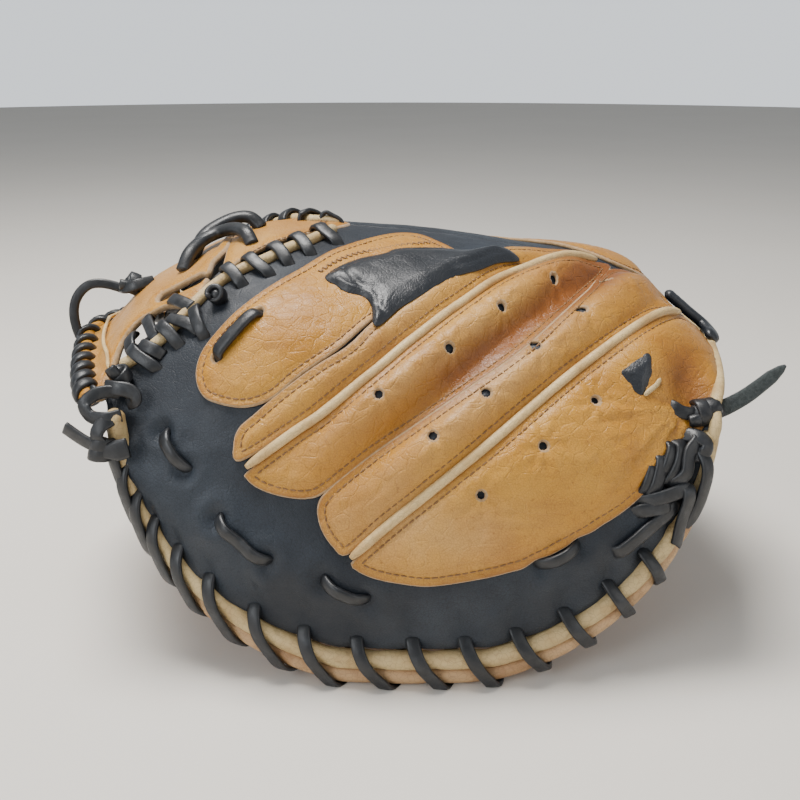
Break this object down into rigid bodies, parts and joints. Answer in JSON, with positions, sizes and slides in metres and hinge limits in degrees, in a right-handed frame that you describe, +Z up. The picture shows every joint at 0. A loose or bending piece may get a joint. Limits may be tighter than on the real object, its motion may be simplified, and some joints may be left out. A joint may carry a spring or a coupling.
{
  "type": "baseball catcher's mitt",
  "caption": "Left-hand catcher's mitt in tan and black leather: padded finger and thumb halves that fold towards each other round a deep pocket, joined by a laced web.",
  "frame": {"origin": "middle of the underside of the standing mitt's box, on the surface it rests on; the free lace ends are not counted", "axes": "+X from the web to the wrist opening, +Y from the finger half to the thumb half, +Z up"},
  "size_m": [0.3211, 0.2408, 0.1746],
  "materials": {
    "tan_leather": "worn satin grain",
    "palm_leather": "worn satin grain",
    "black_leather": "satin grain",
    "lining": "soft suede-like nap",
    "felt_padding": "dense felt",
    "piping": "smooth light edge",
    "binding_leather": "smooth worn edge",
    "lace_leather": "oiled rawhide"
  },
  "bodies": {
    "finger_side": {"finger_back_shell": "black_leather", "finger_back_lining": "lining", "finger_palm_lining": "lining", "finger_palm_pad": "felt_padding", "finger_palm_shell": "palm_leather", "index_finger_panel": "tan_leather", "middle_finger_panel": "tan_leather", "ring_finger_panel": "tan_leather", "little_finger_panel": "tan_leather", "outer_edge_panel": "tan_leather", "finger_hood": "black_leather", "upper_piping": "piping", "lower_piping": "piping", "finger_back_binding": "binding_leather", "finger_palm_binding": "binding_leather", "finger_rim_lace": "lace_leather", "finger_web_binding": "binding_leather", "finger_web_lace": "lace_leather", "finger_wrist_binding": "piping", "anchor_laces": "lace_leather", "index_lace": "lace_leather", "heel_lace": "lace_leather", "strap_tab": "black_leather", "wrist_strap": "black_leather", "web_stop_knot": "lace_leather", "wrist_lace_tail": "lace_leather", "wrist_lace_knot": "lace_leather", "corner_knot_upper": "lace_leather", "corner_knot_lower": "lace_leather"},
    "web": {"web_panel": "tan_leather", "crotch_panel": "tan_leather", "web_rim_binding": "tan_leather", "web_rim_lace": "lace_leather", "web_lace_loop": "lace_leather", "web_loop_knot": "lace_leather"},
    "thumb_side": {"thumb_back_shell": "black_leather", "thumb_back_lining": "lining", "thumb_palm_lining": "lining", "thumb_palm_pad": "felt_padding", "thumb_palm_shell": "palm_leather", "thumb_panel": "tan_leather", "thumb_piping": "piping", "thumb_back_binding": "binding_leather", "thumb_palm_binding": "binding_leather", "thumb_rim_lace": "lace_leather", "thumb_web_binding": "binding_leather", "thumb_web_lace": "lace_leather", "thumb_wrist_binding": "piping"}
  },
  "joints": [
    {"name": "web_fold", "type": "hinge", "parent": "finger_side", "child": "web", "pos_m": [0, 0.014, 0.088], "axis": [-1, 0, 0], "range_deg": [0, 14]},
    {"name": "thumb_fold", "type": "hinge", "parent": "web", "child": "thumb_side", "pos_m": [0, 0.014, 0.088], "axis": [-1, 0, 0], "range_deg": [0, 14]}
  ],
  "couplings": [
    {"joint": "web_fold", "follows": "thumb_fold", "ratio": 1}
  ]
}
